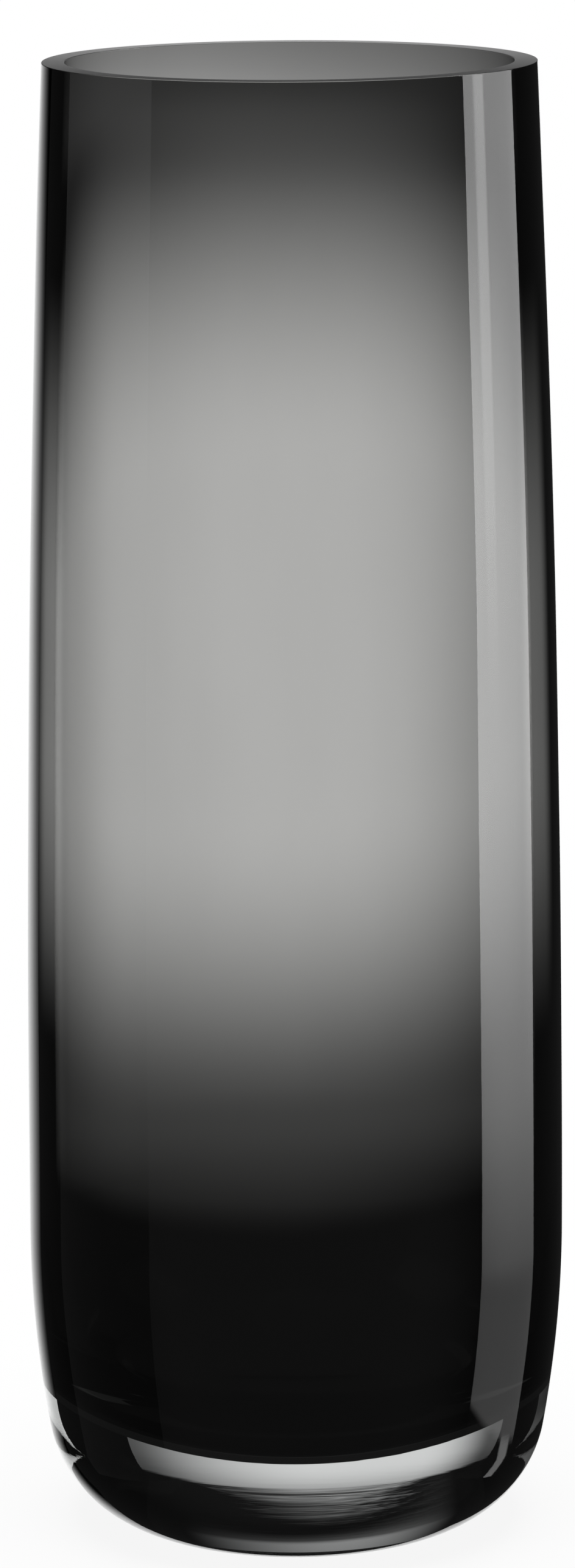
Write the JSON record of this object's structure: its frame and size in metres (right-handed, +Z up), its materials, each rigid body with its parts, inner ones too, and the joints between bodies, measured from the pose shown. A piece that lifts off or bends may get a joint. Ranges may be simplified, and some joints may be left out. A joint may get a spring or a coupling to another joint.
{
  "type": "glass cylinder vase",
  "caption": "Tall, slightly tapering cylinder vase in smoke-grey cased glass with a flat ground rim and a heavy clear base, for cut flowers and branches.",
  "frame": {"origin": "centre of the flat foot's underside", "axes": "+Z up along the vase's axis, from the foot towards the rim; the vase is round, so X and Y are alike"},
  "size_m": [0.124, 0.124, 0.34],
  "materials": {
    "clear_glass": "fire-polished clear blown glass with faint gather lines, flat ground rim with fine bevels",
    "smoke_glass": "smooth smoke-grey transparent blown glass"
  },
  "bodies": {
    "root": {"clear_glass_casing": "clear_glass", "smoke_glass_liner": "smoke_glass"}
  },
  "joints": []
}
